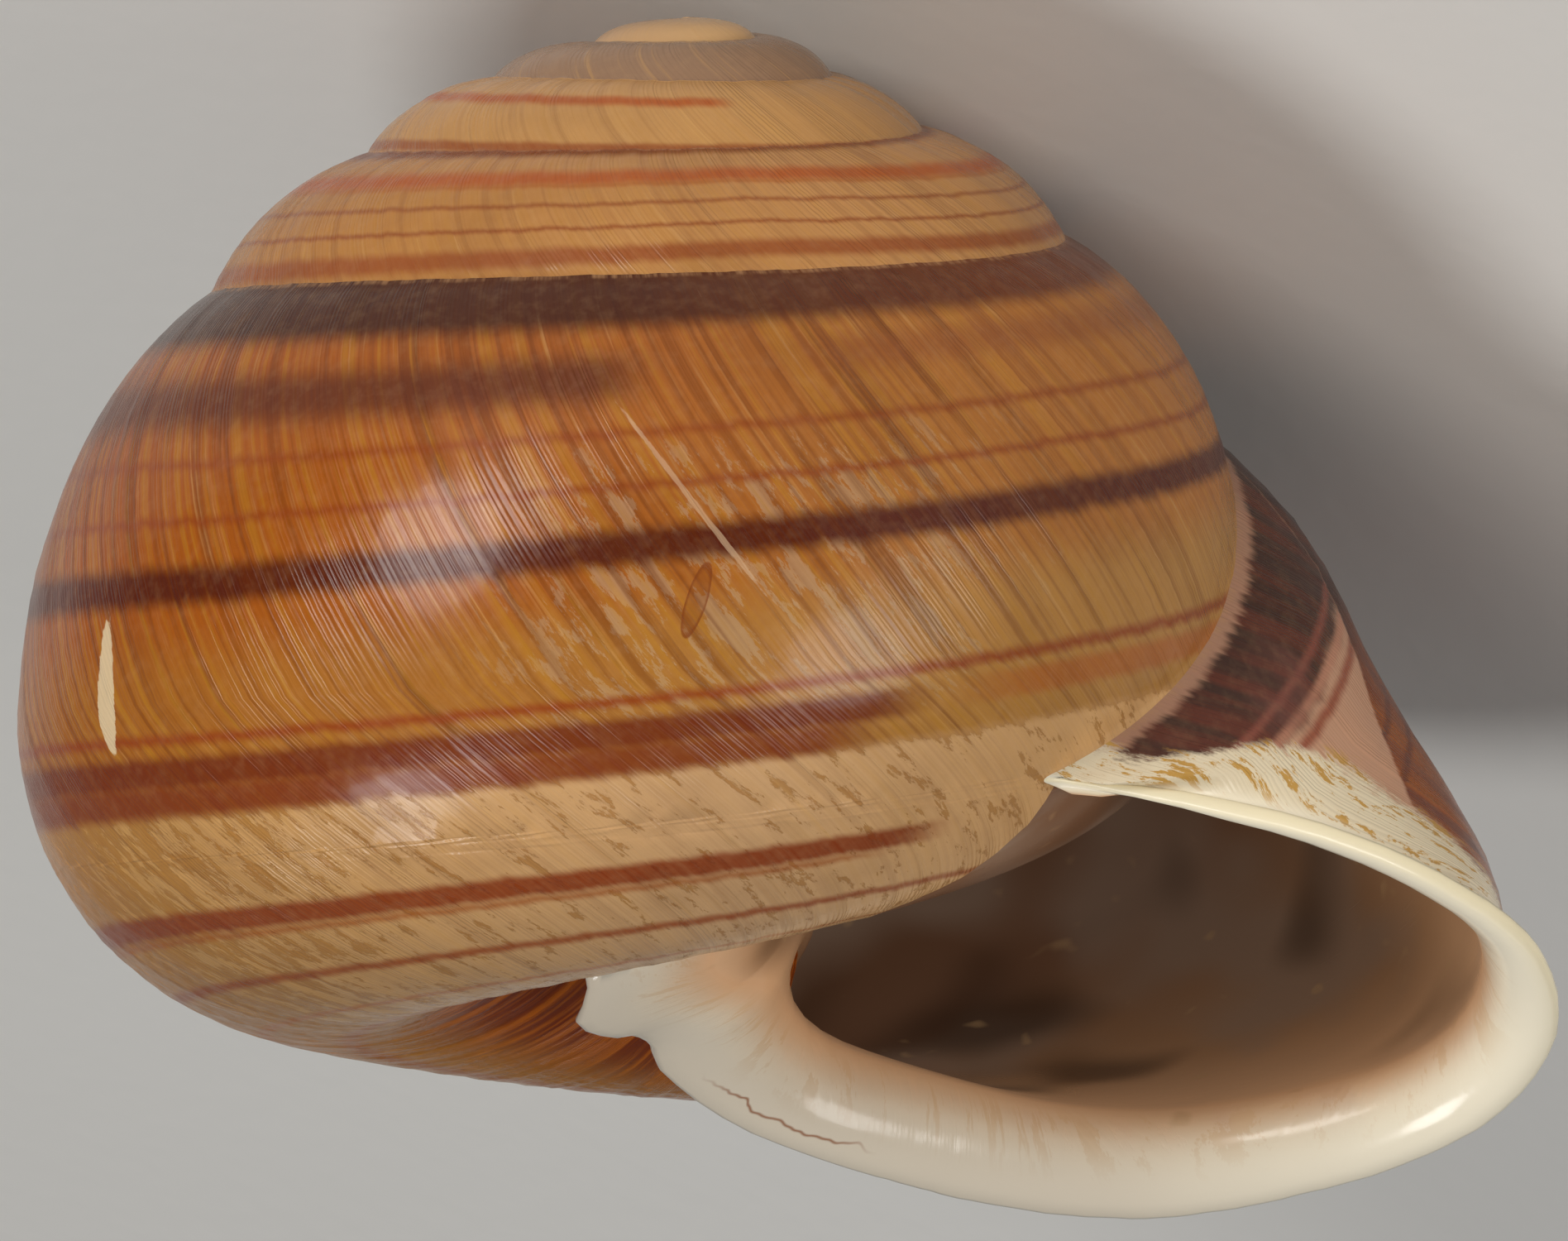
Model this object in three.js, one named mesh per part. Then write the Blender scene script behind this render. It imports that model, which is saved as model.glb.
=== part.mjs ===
// Land snail shell with a right-handed coil, lying on its back with the mouth turned up.
// Millimetres, +Z up. One piece: a thin wall wound round an open umbilicus, with a flared white lip.
// "t" counts whorls of growth: 0 where the suture meets the lip, negative towards the apex.
// "angle" runs round the whorl's outline: 0 outward, 90 up to the apex, 180 to the axis, -90 to the base.
import * as THREE from 'three';

// Whorl outline at chosen stages of growth: t, distance of its centre from the axis, depth below the apex,
// then its reach outward, inward, upward and downward.
const stages = [
  [-5.625, 0.0, 0.1, 0.1, 0.1, 0.1, 0.1],
  [-5.13, 0.95, 0.9, 0.95, 0.95, 0.85, 0.8],
  [-4.63, 1.5, 1.7, 1.4, 1.45, 1.45, 1.4],
  [-4.13, 2.1, 2.4, 2.1, 1.9, 2.0, 1.9],
  [-3.63, 2.85, 3.0, 2.85, 2.55, 2.2, 2.4],
  [-3.13, 3.5, 4.45, 3.5, 3.1, 3.1, 2.95],
  [-2.63, 4.55, 5.85, 4.55, 3.9, 4.05, 3.75],
  [-2.13, 5.45, 7.5, 5.5, 4.55, 4.85, 4.75],
  [-1.63, 6.7, 11.1, 6.65, 5.35, 7.35, 6.1],
  [-1.13, 7.9, 14.9, 7.75, 6.35, 9.95, 7.3],
  [-0.63, 8.9, 19.6, 8.65, 7.0, 12.9, 8.8],
  [-0.38, 9.75, 21.05, 9.3, 7.45, 12.7, 9.15],
  [-0.13, 12.45, 22.85, 9.75, 8.85, 12.25, 7.8],
  [0.0, 12.25, 26.05, 10.65, 8.85, 7.6, 6.8],
  [0.1, 12.7, 27.15, 10.65, 9.5, 5.2, 6.35],
];
const whorlCount = 5.625; // from the apex to the lip
const lipAzimuth = -44; // degrees, where the suture meets the lip
const wall = 0.6; // shell thickness
const umbilicusTurns = 3; // whorls that show in the umbilicus
const cavityTurns = 2; // whorls that are open inside

// The lip lies in a plane that leans over the base, its outline a rounded ellipse in that plane.
const lip = {
  lean: 45, // degrees
  corner: new THREE.Vector3(10.55, -10.1, -19.65), // where its upper end meets the body whorl
  centre: [11.95, 9.3], // across and down the plane
  halfWidth: 12.85,
  halfHeight: 8.65,
  turn: 2.9, // degrees
  roundness: 1.97,
  thickness: 0.82,
  neckDepth: 1.7, // from the lip plane back to where the flare starts
  flare: [0.15, 1.35], // outward reach of the flare: above, and added below
  columellaReach: 1.0, // extra reach over the umbilicus
  cornerReach: 0.006, // whorls that its upper and lower ends run on over the body whorl
  plateReach: 0.19,
  columellaTurn: 0.06, // whorls that the inner edge runs on beside the axis
};

// Lying at rest: the direction, seen from the upright shell, that points down, and a small worn flat there.
const restingDown = new THREE.Vector3(0.37, 0.52, 0.77).normalize();
const restingFlat = 0.25;

// Facets: columns in a whorl, then rows on the spire, round the lip's edge, in the mouth and in the umbilicus.
const columns = 24;
const rows = { spire: 7, lip: 6, mouth: 8, umbilicus: 4 };

const rad = THREE.MathUtils.degToRad;
const { lerp, clamp } = THREE.MathUtils;
const rise = (x) => THREE.MathUtils.smoothstep(x, 0, 1);
const steps = (count) => Array.from({ length: count + 1 }, (_, i) => i / count);

// Smooth value of one column of the stages, by a cubic whose slopes follow the neighbouring stages.
function stageValue(t, column) {
  const at = (i) => stages[i][0];
  const last = stages.length - 1;
  const x = clamp(t, at(0), at(last));
  let i = 0;
  while (i < last - 1 && x >= at(i + 1)) i += 1;
  const chord = (k) => (stages[k + 1][column] - stages[k][column]) / (at(k + 1) - at(k));
  const slope = (k) => {
    if (k === 0) return chord(0);
    if (k === last) return chord(last - 1);
    return (chord(k - 1) * (at(k + 1) - at(k)) + chord(k) * (at(k) - at(k - 1))) / (at(k + 1) - at(k - 1));
  };
  const span = at(i + 1) - at(i);
  const u = (x - at(i)) / span;
  return (1 + 2 * u) * (1 - u) ** 2 * stages[i][column] + u * (1 - u) ** 2 * span * slope(i)
    + u * u * (3 - 2 * u) * stages[i + 1][column] + u * u * (u - 1) * span * slope(i + 1);
}

function whorlAt(t) {
  const [centre, depth, outward, inward, upward, downward] = [1, 2, 3, 4, 5, 6].map((c) => stageValue(t, c));
  // The last third of a whorl flattens above, so its shoulder slopes straight down to the lip.
  const shoulder = 2 - 0.5 * rise((t + 0.5) / 0.34) - 0.2 * clamp((t + 0.14) / 0.14, 0, 1.5);
  return { centre, depth, outward, inward, upward, downward, shoulder };
}

const signedPower = (value, power) => Math.sign(value) * Math.abs(value) ** power;

// Distance from the axis and depth of a point of the outline, set in by a thickness.
function outline(t, angle, inset = 0) {
  const w = whorlAt(t);
  const [c, s] = [Math.cos(angle), Math.sin(angle)];
  const power = 2 / (s >= 0 ? w.shoulder : 2);
  return {
    r: w.centre + ((c >= 0 ? w.outward : w.inward) - inset) * signedPower(c, power),
    h: w.depth - ((s >= 0 ? w.upward : w.downward) - inset) * signedPower(s, power),
  };
}

function place(t, { r, h }) {
  const azimuth = rad(lipAzimuth) - 2 * Math.PI * t;
  return new THREE.Vector3(r * Math.cos(azimuth), r * Math.sin(azimuth), -h);
}

const surface = (t, angle, inset = 0) => place(t, outline(t, angle, inset));

// Where a point lies on another whorl's outline: its angle there, and how far out it is (below 0 is inside).
function locate(t, { r, h }) {
  const w = whorlAt(t);
  const power = h <= w.depth ? w.shoulder : 2;
  const a = (r - w.centre) / (r >= w.centre ? w.outward : w.inward);
  const b = (w.depth - h) / (h <= w.depth ? w.upward : w.downward);
  const angle = Math.atan2(signedPower(b, power / 2), signedPower(a, power / 2));
  return { angle: angle > rad(150) ? angle - 2 * Math.PI : angle, beyond: Math.abs(a) ** power + Math.abs(b) ** power - 1 };
}

// Angle at which a whorl meets the one before it: up = 1 at the suture, -1 beside the axis.
function meeting(t, up, inset = 0) {
  const buried = (angle) => locate(t - 1, outline(t, angle, inset)).beyond < 0;
  const step = rad(0.75);
  let outer = up * rad(2);
  while (!buried(outer + up * step)) {
    outer += up * step;
    if (Math.abs(outer) > rad(230)) return null;
  }
  let inner = outer + up * step;
  for (let i = 0; i < 40; i += 1) {
    const middle = (outer + inner) / 2;
    if (buried(middle)) inner = middle;
    else outer = middle;
  }
  return (outer + inner) / 2;
}

const onPrevious = (t, angle, inset = 0) => locate(t - 1, outline(t, angle, inset)).angle;

// Seams between whorls, one value for each column; the first turn of the apex has none of its own.
const apex = new THREE.Vector3(0, 0, 0);
const firstSeam = 1 - whorlCount;
const apexBlend = 0.35;
const seamTimes = steps((whorlCount - 1) * columns).map((x) => firstSeam * (1 - x));
const fillStart = (list) => list.map((value) => value ?? list.find((v) => v !== null));
const suture = fillStart(seamTimes.map((t) => meeting(t, 1)));
const axisSeam = fillStart(seamTimes.map((t) => meeting(t, -1)));
const seamIndex = (t) => Math.round((t - firstSeam) * columns);
const sutureAngle = (t) => suture[seamIndex(t)];
const axisAngle = (t) => axisSeam[seamIndex(t)];
const suturePoint = (t) => apex.clone().lerp(surface(t, sutureAngle(t)), rise((t - firstSeam) / apexBlend));
const axisPoint = (t) => surface(t, axisAngle(t));
const sutureBelow = (t) => onPrevious(t, sutureAngle(t));
const axisBelow = (t) => onPrevious(t, axisAngle(t));
const columnTimes = (from, to) => steps(Math.round((to - from) * columns)).map((x) => lerp(from, to, x));

// Spire: the strip of each whorl that shows between its own suture and the next.
const spire = columnTimes(-whorlCount, -1).map((t, i) => {
  const next = suturePoint(t + 1);
  if (i === 0) return steps(rows.spire).map(() => apex.clone());
  const onSeam = t >= firstSeam - 1e-9;
  const grown = onSeam ? rise((t - firstSeam) / apexBlend) : 0;
  const start = onSeam ? suturePoint(t) : apex;
  const from = lerp(rad(110), onSeam ? sutureAngle(t) : 0, grown);
  const to = sutureBelow(t + 1);
  const startShift = start.clone().sub(surface(t, from));
  const endShift = next.clone().sub(surface(t, to));
  return steps(rows.spire).map((x) => surface(t, lerp(from, to, x))
    .addScaledVector(startShift, (1 - x) ** 3)
    .addScaledVector(endShift, x ** 3));
});

// Umbilicus: the strip of each whorl that shows beside the axis, closed at the top by a small fan.
const umbilicus = columnTimes(-umbilicusTurns, -1).map((t) => {
  const row = steps(rows.umbilicus).map((x) => surface(t, lerp(axisBelow(t + 1), axisAngle(t), x)));
  row[0] = axisPoint(t + 1);
  row[rows.umbilicus] = axisPoint(t);
  return row;
});
const umbilicusRim = columnTimes(-umbilicusTurns, 1 - umbilicusTurns).map(axisPoint);
const meanHeight = (points) => points.reduce((sum, p) => sum + p.z, 0) / points.length;
const umbilicusTop = new THREE.Vector3(0, 0, (meanHeight(umbilicus[0]) + meanHeight(umbilicusRim)) / 2);

// The lip's plane: across it, down it, and out of the mouth.
const across = new THREE.Vector3(1, 0, 0);
const down = new THREE.Vector3(0, Math.sin(rad(lip.lean)), -Math.cos(rad(lip.lean)));
const out = new THREE.Vector3(0, -Math.cos(rad(lip.lean)), -Math.sin(rad(lip.lean)));
const lipCentre = lip.corner.clone().addScaledVector(across, lip.centre[0] - lip.corner.x)
  .addScaledVector(down, lip.centre[1]);
const ahead = (point) => point.clone().sub(lip.corner).dot(out);
const outwardAt = (theta) => across.clone().multiplyScalar(Math.cos(theta)).addScaledVector(down, Math.sin(theta));
const bump = (theta, middle, width) => Math.exp(-(((theta - rad(middle)) / rad(width)) ** 2));

function lipRadius(theta) {
  const a = Math.abs(Math.cos(theta - rad(lip.turn)) / lip.halfWidth) ** lip.roundness;
  const b = Math.abs(Math.sin(theta - rad(lip.turn)) / lip.halfHeight) ** lip.roundness;
  return (a + b) ** (-1 / lip.roundness)
    - 0.45 * bump(theta, 38, 25) - 0.32 * bump(theta, 125, 25) + 0.32 * bump(theta, -14, 15);
}

// Inner wall: the same spiral set in by the wall. It runs further on beside the axis than at the suture.
const innerTimes = columnTimes(-cavityTurns, 0);
const runOn = (t) => lip.columellaTurn * rise((t + 0.3) / 0.3);
const innerSuture = innerTimes.map((t) => meeting(t, 1, wall));
const innerAxis = innerTimes.map((t) => meeting(t + runOn(t), -1, wall));
const innerSutureBelow = innerTimes.map((t, i) => onPrevious(t, innerSuture[i], wall));
const innerAxisBelow = innerTimes.map((t, i) => onPrevious(t + runOn(t), innerAxis[i], wall));
const lastInner = innerTimes.length - 1;

// The lip's two ends stand on the body whorl: growth time and angle there, from its outside to its inside.
const upperEnd = steps(rows.lip).map((x) => ({
  t: -1 + lip.cornerReach * Math.sin(Math.PI * x),
  angle: lerp(sutureBelow(0), innerSutureBelow[lastInner], x),
}));
const lowerEnd = steps(rows.lip).map((x) => ({
  t: -1 + lip.plateReach * Math.max(Math.sin(Math.PI * x), 0) ** 0.6 + lip.columellaTurn * x,
  angle: lerp(axisBelow(0), innerAxisBelow[lastInner], x),
}));

// First column of the last whorl: spire, upper end of the lip, mouth, lower end of the lip, umbilicus.
const firstColumn = [
  ...steps(rows.spire).map((x) => ({ t: -1, angle: lerp(sutureAngle(-1), sutureBelow(0), x) })),
  ...upperEnd.slice(1, -1),
  ...steps(rows.mouth).map((x) => ({
    t: -1 + lip.columellaTurn * x * x,
    angle: lerp(innerSutureBelow[lastInner], innerAxisBelow[lastInner], x),
  })),
  ...lowerEnd.slice(1, -1).reverse(),
  ...steps(rows.umbilicus).map((x) => ({ t: -1, angle: lerp(axisBelow(0), axisAngle(-1), x) })),
];
const rowCount = firstColumn.length - 1;
const share = firstColumn.map(({ angle }) => (angle - firstColumn[0].angle)
  / (firstColumn[rowCount].angle - firstColumn[0].angle));

// How much earlier than the suture each row reaches the neck of the lip, because the mouth leans.
const lag = share.map((x) => {
  const angle = lerp(sutureAngle(0), axisAngle(0), x);
  let [early, late] = [-0.4, 0.09];
  for (let i = 0; i < 40; i += 1) {
    const middle = (early + late) / 2;
    if (ahead(surface(middle, angle)) + lip.neckDepth < 0) early = middle;
    else late = middle;
  }
  return -early * rise(x / 0.1) * rise((1 - x) / 0.1);
});
const lagAt = (t) => rise((t + 0.95) / 0.93);

const lastWhorlTimes = columnTimes(-1, 0);
const lastWhorl = lastWhorlTimes.map((t) => share.map((x, j) => {
  const time = t + (firstColumn[j].t + 1) * (1 - rise((t + 1) / 0.62)) - lag[j] * lagAt(t);
  return surface(time, lerp(sutureAngle(t), axisAngle(t), x));
}));

// Near the mouth the whorl is drawn onto the lip's own outline, less the flare.
const neckTheta = [];
lastWhorl[columns].forEach((point) => {
  const offset = point.clone().sub(lipCentre);
  const theta = Math.atan2(offset.dot(down), offset.dot(across));
  const before = neckTheta.at(-1) ?? theta;
  neckTheta.push(theta + 2 * Math.PI * Math.round((before - theta) / (2 * Math.PI)));
});
const neckShift = lastWhorl[columns].map((point, j) => {
  const theta = neckTheta[j];
  const flare = lip.flare[0] + lip.flare[1] * rise((theta - rad(-75)) / rad(75));
  const target = lipCentre.clone().addScaledVector(outwardAt(theta), lipRadius(theta) - flare)
    .addScaledVector(out, -lip.neckDepth);
  return target.sub(point).multiplyScalar(rise(share[j] / 0.12) * rise((0.86 - share[j]) / 0.16));
});
const towardsMouth = (t) => rise((t + 0.32) / 0.32);
lastWhorlTimes.forEach((t, i) => {
  lastWhorl[i].forEach((point, j) => point.addScaledVector(neckShift[j], towardsMouth(t)));
  lastWhorl[i][0] = suturePoint(t);
  lastWhorl[i][rowCount] = axisPoint(t);
});

const inner = innerTimes.map((t, i) => {
  const column = share.map((x, j) => {
    const time = t - lag[j] * lagAt(t) + runOn(t) * rise((x - 0.72) / 0.28);
    return surface(time, lerp(innerSuture[i], innerAxis[i], x), wall)
      .addScaledVector(neckShift[j], towardsMouth(t));
  });
  column[0] = surface(t, innerSuture[i], wall);
  column[rowCount] = surface(t + runOn(t), innerAxis[i], wall);
  return column;
});

// Inside the mouth the body whorl itself closes the tube.
const mouthWall = innerTimes.map((t, i) => {
  const column = steps(rows.mouth).map((x) => surface(
    t - 1 + runOn(t) * x * x,
    lerp(innerSutureBelow[i], innerAxisBelow[i], x),
  ));
  column[0] = inner[i][0];
  column[rows.mouth] = inner[i][rowCount];
  return column;
});
const cavityEnd = [...inner[0], ...mouthWall[0]]
  .reduce((sum, p) => sum.add(p), new THREE.Vector3())
  .divideScalar(inner[0].length + mouthWall[0].length);

// Lip: out along the flare, round the thick edge, and back along the broad inner face.
const growth = (sheet, j) => {
  const end = sheet.length - 1;
  return sheet[end][j].clone().sub(sheet[end - 1][j]).normalize();
};
const lipBackShare = 0.4;
const lipFrontShare = 0.62;
const backRow = Math.round(rows.lip * lipBackShare);
const frontRow = Math.round(rows.lip * lipFrontShare);
const neck = lastWhorl[columns];
const throat = inner[lastInner];
const lipSheet = steps(rows.lip).map(() => []);
for (let j = 0; j <= rowCount; j += 1) {
  const theta = neckTheta[j] - rad(16) * rise((share[j] - 0.8) / 0.2);
  const reach = lipRadius(theta) + lip.columellaReach * rise((theta - rad(160)) / rad(20));
  const outwards = outwardAt(theta);
  const half = (lip.thickness * (0.75 + 0.5 * rise((share[j] - 0.1) / 0.5))) / 2;
  const round = half * 0.6;
  const hub = lipCentre.clone().addScaledVector(outwards, reach - round);
  const back = hub.clone().addScaledVector(out, -half);
  const front = hub.clone().addScaledVector(out, half);
  const backSpan = back.distanceTo(neck[j]);
  const frontSpan = front.distanceTo(throat[j]);
  const flareCurve = new THREE.CubicBezierCurve3(
    neck[j],
    neck[j].clone().addScaledVector(growth(lastWhorl, j), 0.42 * backSpan),
    back.clone().addScaledVector(outwards, -0.3 * backSpan),
    back,
  );
  const faceCurve = new THREE.CubicBezierCurve3(
    front,
    front.clone().addScaledVector(outwards, -0.45 * frontSpan),
    throat[j].clone().addScaledVector(growth(inner, j), 0.35 * frontSpan),
    throat[j],
  );
  for (let k = 0; k <= rows.lip; k += 1) {
    if (k <= backRow) lipSheet[k][j] = flareCurve.getPoint(k / backRow);
    else if (k >= frontRow) lipSheet[k][j] = faceCurve.getPoint((k - frontRow) / (rows.lip - frontRow));
    else {
      const turn = -Math.PI / 2 + (Math.PI * (k - backRow)) / (frontRow - backRow);
      lipSheet[k][j] = hub.clone().addScaledVector(outwards, round * Math.cos(turn))
        .addScaledVector(out, half * Math.sin(turn));
    }
  }
}
lipSheet.forEach((column, k) => {
  const upperPoint = surface(upperEnd[k].t, upperEnd[k].angle);
  const lowerPoint = surface(lowerEnd[k].t, lowerEnd[k].angle);
  const upperShift = upperPoint.clone().sub(column[0]);
  const lowerShift = lowerPoint.clone().sub(column[rowCount]);
  column.forEach((point, j) => point.addScaledVector(upperShift, 1 - rise(share[j] / 0.07))
    .addScaledVector(lowerShift, 1 - rise((1 - share[j]) / 0.12)));
});
lipSheet[0] = neck;
lipSheet[rows.lip] = throat;

// The last whorl's first column is stitched to everything that ends on it.
const mouthStart = rows.spire + rows.lip;
const plateStart = mouthStart + rows.mouth;
const umbilicusStart = plateStart + rows.lip;
const first = lastWhorl[0];
spire.at(-1).forEach((point, j) => { first[j] = point; });
lipSheet.forEach((column, k) => {
  first[rows.spire + k] = column[0];
  first[umbilicusStart - k] = column[rowCount];
});
mouthWall[lastInner].forEach((point, j) => { first[mouthStart + j] = point; });
umbilicus.at(-1).forEach((point, j) => { first[umbilicusStart + j] = point; });

// Stitch the sheets into one closed skin, sharing the vertices along their edges.
const positions = [];
const triangles = [];
const known = new Map();

function vertex(point) {
  const key = [point.x, point.y, point.z].map((v) => Math.round(v * 1e4)).join();
  if (!known.has(key)) {
    known.set(key, positions.length / 3);
    positions.push(point.x, point.y, point.z);
  }
  return known.get(key);
}

function triangle(a, b, c) {
  const [i, j, k] = [vertex(a), vertex(b), vertex(c)];
  if (i !== j && j !== k && k !== i) triangles.push(i, j, k);
}

function stitch(sheet, inward = false) {
  for (let i = 0; i + 1 < sheet.length; i += 1) {
    for (let j = 0; j + 1 < sheet[i].length; j += 1) {
      const [a, b, c, d] = [sheet[i][j], sheet[i][j + 1], sheet[i + 1][j + 1], sheet[i + 1][j]];
      if (inward) {
        triangle(a, b, c);
        triangle(a, c, d);
      } else {
        triangle(a, c, b);
        triangle(a, d, c);
      }
    }
  }
}

const fan = (points, centre) => points.map((point) => [point, centre]);

stitch(spire);
stitch(umbilicus);
stitch(fan(umbilicusRim, umbilicusTop));
stitch(fan(umbilicus[0], umbilicusTop));
stitch(lastWhorl);
stitch(inner, true);
stitch(mouthWall);
stitch(fan(inner[0], cavityEnd), true);
stitch(fan(mouthWall[0], cavityEnd));
stitch(lipSheet);

// Lay the shell down as it rests, wear the small flat, and put the origin under the middle of its box.
const layDown = new THREE.Quaternion().setFromUnitVectors(restingDown, new THREE.Vector3(0, 0, -1));
const facing = new THREE.Vector3(0, 1, 0).applyQuaternion(layDown);
layDown.premultiply(new THREE.Quaternion().setFromAxisAngle(
  new THREE.Vector3(0, 0, 1),
  Math.PI / 2 - Math.atan2(facing.y, facing.x),
));
const geometry = new THREE.BufferGeometry();
geometry.setAttribute('position', new THREE.Float32BufferAttribute(positions, 3));
geometry.setIndex(triangles);
geometry.applyQuaternion(layDown);
geometry.computeBoundingBox();
const floor = geometry.boundingBox.min.z + restingFlat;
const skin = geometry.getAttribute('position');
for (let i = 0; i < skin.count; i += 1) skin.setZ(i, Math.max(skin.getZ(i), floor));
geometry.computeBoundingBox();
const middle = geometry.boundingBox.getCenter(new THREE.Vector3());
geometry.computeVertexNormals();

const bandedShell = new THREE.MeshStandardMaterial({ color: 0xc08a4e, roughness: 0.35, metalness: 0 });
const shell = new THREE.Mesh(geometry, bandedShell);
shell.name = 'shell';
shell.position.set(-middle.x, -middle.y, -floor);

const snailShell = new THREE.Group();
snailShell.add(shell);

export default snailShell;
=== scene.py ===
import math
from types import SimpleNamespace
import bpy
import numpy as np
from mathutils import Matrix, Quaternion, Vector


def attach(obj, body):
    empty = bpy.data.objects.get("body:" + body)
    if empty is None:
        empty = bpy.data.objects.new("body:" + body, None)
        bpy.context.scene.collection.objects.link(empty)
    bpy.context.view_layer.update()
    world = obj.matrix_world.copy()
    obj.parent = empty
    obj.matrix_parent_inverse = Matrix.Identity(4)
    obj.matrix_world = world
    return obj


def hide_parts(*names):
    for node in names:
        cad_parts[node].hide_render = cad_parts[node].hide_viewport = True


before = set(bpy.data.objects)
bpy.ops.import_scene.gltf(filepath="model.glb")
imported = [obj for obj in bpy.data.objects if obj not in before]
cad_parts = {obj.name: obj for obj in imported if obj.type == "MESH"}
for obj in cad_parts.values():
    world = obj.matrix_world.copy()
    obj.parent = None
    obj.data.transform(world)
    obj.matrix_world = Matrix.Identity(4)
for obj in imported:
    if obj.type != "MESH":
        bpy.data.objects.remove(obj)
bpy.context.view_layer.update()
print("frame loaded")

mm = 0.001
rad = math.radians

# Lengths in millimetres. "t" counts whorls of growth: 0 at the lip, negative towards the apex.
# "angle" goes round a whorl's outline: 0 outward, 90 towards the apex, -90 towards the base.
shellShape = {
    "stages": [  # t, centre from the axis, depth below the apex, reach outward, inward, up, down
        [-5.625, 0.00, 0.10, 0.10, 0.10, 0.10, 0.10],
        [-5.13, 0.95, 0.90, 0.95, 0.95, 0.85, 0.80],
        [-4.63, 1.50, 1.70, 1.40, 1.45, 1.45, 1.40],
        [-4.13, 2.10, 2.40, 2.10, 1.90, 2.00, 1.90],
        [-3.63, 2.85, 3.00, 2.85, 2.55, 2.20, 2.40],
        [-3.13, 3.50, 4.45, 3.50, 3.10, 3.10, 2.95],
        [-2.63, 4.55, 5.85, 4.55, 3.90, 4.05, 3.75],
        [-2.13, 5.45, 7.50, 5.50, 4.55, 4.85, 4.75],
        [-1.63, 6.70, 11.10, 6.65, 5.35, 7.35, 6.10],
        [-1.13, 7.90, 14.90, 7.75, 6.35, 9.95, 7.30],
        [-0.63, 8.90, 19.60, 8.65, 7.00, 12.90, 8.80],
        [-0.38, 9.75, 21.05, 9.30, 7.45, 12.70, 9.15],
        [-0.13, 12.45, 22.85, 9.75, 8.85, 12.25, 7.80],
        [0.00, 12.25, 26.05, 10.65, 8.85, 7.60, 6.80],
        [0.10, 12.70, 27.15, 10.65, 9.50, 5.20, 6.35],
    ],
    "whorls": 5.625,
    "lipAzimuth": -44,
    "wall": 0.6,
    "apexTurns": 0.35,  # growth over which the first seam opens
    "umbilicusTurns": 3,
    "cavityTurns": 0.8,  # how far in the tube is open
    "columns": 200,  # in one whorl
    "spireRows": 26,
    "lipRows": 24,
    "mouthRows": 36,
    "umbilicusRows": 20,
    "restingDown": (0.37, 0.52, 0.77),  # direction that turns down when the shell lies
    "restingFlat": 0.25,  # depth of the worn flat
}

lipShape = {
    "lean": 45,
    "corner": (10.55, -10.1, -19.65),
    "centre": (11.95, 9.3),
    "halfWidth": 12.85,
    "halfHeight": 8.65,
    "turn": 2.9,
    "roundness": 1.97,
    "thickness": 0.82,
    "neckDepth": 1.7,
    "neckTurn": 0.32,  # growth over which the tube takes on the lip's outline
    "flareAbove": 0.15,
    "flareBelow": 1.35,
    "plateGrowth": -1.8,  # how far the plate stands past the lip's outline
    "cornerReach": 0.006,
    "plateReach": 0.13,
    "columellaTurn": 0.08,
    "mouthShade": 0.16,  # painted shade: the body whorl's skin in the mouth is coloured as if this much further in
    "chips": 0.8,  # depth of the broken edge beside the umbilicus
}


def rise(x):
    x = np.clip(x, 0, 1)
    return x * x * (3 - 2 * x)


def mixed(a, b, share):
    return a + (b - a) * share


def steps(count):
    return np.arange(count + 1) / count


# 1 at a middle angle, falling away over a width, both in degrees
def swell(angle, middle, width):
    return np.exp(-(((angle - rad(middle)) / rad(width)) ** 2))


stageTable = np.array(shellShape["stages"])


# cubic through the stages, its slopes following the neighbouring stages
def stageValue(t, column):
    times = stageTable[:, 0]
    values = stageTable[:, column]
    t = np.clip(t, times[0], times[-1])
    chords = np.diff(values) / np.diff(times)
    slopes = np.empty_like(values)
    slopes[0] = chords[0]
    slopes[-1] = chords[-1]
    before = np.diff(times)[:-1]
    after = np.diff(times)[1:]
    slopes[1:-1] = (chords[:-1] * after + chords[1:] * before) / (before + after)
    i = np.clip(np.searchsorted(times, t, side="right") - 1, 0, len(times) - 2)
    span = times[i + 1] - times[i]
    u = (t - times[i]) / span
    low = (1 + 2 * u) * (1 - u) ** 2 * values[i] + u * (1 - u) ** 2 * span * slopes[i]
    high = u * u * (3 - 2 * u) * values[i + 1] + u * u * (u - 1) * span * slopes[i + 1]
    return low + high


def whorlAt(t):
    t = np.asarray(t, float)
    shoulder = 2 - 0.5 * rise((t + 0.5) / 0.34) - 0.2 * np.clip((t + 0.14) / 0.14, 0, 1.5)
    return [stageValue(t, column) for column in range(1, 7)] + [shoulder]


def signedPower(value, power):
    return np.sign(value) * np.abs(value) ** power


# distance from the axis and depth of points of the outline, set in by a thickness
def outline(t, angle, inset=0.0):
    centre, depth, outward, inward, up, down, shoulder = whorlAt(t)
    c = np.cos(angle)
    s = np.sin(angle)
    power = 2 / np.where(s >= 0, shoulder, 2.0)
    r = centre + (np.where(c >= 0, outward, inward) - inset) * signedPower(c, power)
    h = depth - (np.where(s >= 0, up, down) - inset) * signedPower(s, power)
    return r, h


def surface(t, angle, inset=0.0):
    r, h = outline(t, angle, inset)
    azimuth = rad(shellShape["lipAzimuth"]) - 2 * np.pi * np.asarray(t, float)
    return np.stack([r * np.cos(azimuth), r * np.sin(azimuth), -h + 0 * azimuth], -1)


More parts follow.
